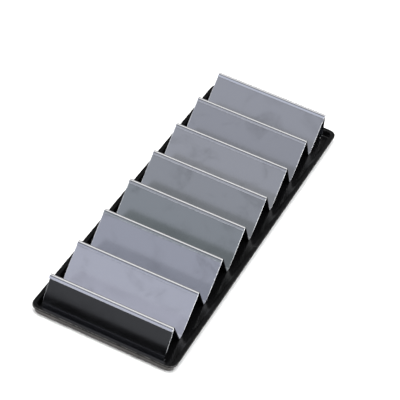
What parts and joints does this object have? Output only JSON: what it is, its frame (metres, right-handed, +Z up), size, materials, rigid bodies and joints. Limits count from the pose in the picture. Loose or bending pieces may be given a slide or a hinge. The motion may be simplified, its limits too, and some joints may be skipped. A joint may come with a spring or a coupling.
{
  "type": "baguette tray",
  "caption": "Long shallow black tray with a loose rack of V-shaped folded steel troughs, which hook over one another and hold filled baguettes crosswise.",
  "frame": {"origin": "middle of the tray's underside, on the surface that the tray stands on", "axes": "+Z up, +Y along the tray from the front panel to the rear panel, +X across the tray along the ridges"},
  "size_m": [0.2, 0.58, 0.0523],
  "materials": {
    "moulded_tray": "glossy black moulding",
    "folded_sheet": "satin stainless sheet with bright cut edges"
  },
  "bodies": {
    "tray": {"tray": "moulded_tray"},
    "front_panel": {"front_panel": "folded_sheet"},
    "trough_1": {"trough_1": "folded_sheet"},
    "trough_2": {"trough_2": "folded_sheet"},
    "trough_3": {"trough_3": "folded_sheet"},
    "trough_4": {"trough_4": "folded_sheet"},
    "trough_5": {"trough_5": "folded_sheet"},
    "trough_6": {"trough_6": "folded_sheet"},
    "trough_7": {"trough_7": "folded_sheet"},
    "rear_panel": {"rear_panel": "folded_sheet"}
  },
  "joints": [
    {"name": "rack_lift", "type": "slide", "parent": "tray", "child": "front_panel", "axis": [0, 0, 1], "range_m": [0, 0.06]},
    {"name": "trough_1_lift", "type": "slide", "parent": "front_panel", "child": "trough_1", "axis": [0, 0, 1], "range_m": [0, 0.06]},
    {"name": "trough_2_lift", "type": "slide", "parent": "trough_1", "child": "trough_2", "axis": [0, 0, 1], "range_m": [0, 0.06]},
    {"name": "trough_3_lift", "type": "slide", "parent": "trough_2", "child": "trough_3", "axis": [0, 0, 1], "range_m": [0, 0.06]},
    {"name": "trough_4_lift", "type": "slide", "parent": "trough_3", "child": "trough_4", "axis": [0, 0, 1], "range_m": [0, 0.06]},
    {"name": "trough_5_lift", "type": "slide", "parent": "trough_4", "child": "trough_5", "axis": [0, 0, 1], "range_m": [0, 0.06]},
    {"name": "trough_6_lift", "type": "slide", "parent": "trough_5", "child": "trough_6", "axis": [0, 0, 1], "range_m": [0, 0.06]},
    {"name": "trough_7_lift", "type": "slide", "parent": "trough_6", "child": "trough_7", "axis": [0, 0, 1], "range_m": [0, 0.06]},
    {"name": "rear_panel_lift", "type": "slide", "parent": "trough_7", "child": "rear_panel", "axis": [0, 0, 1], "range_m": [0, 0.06]}
  ]
}
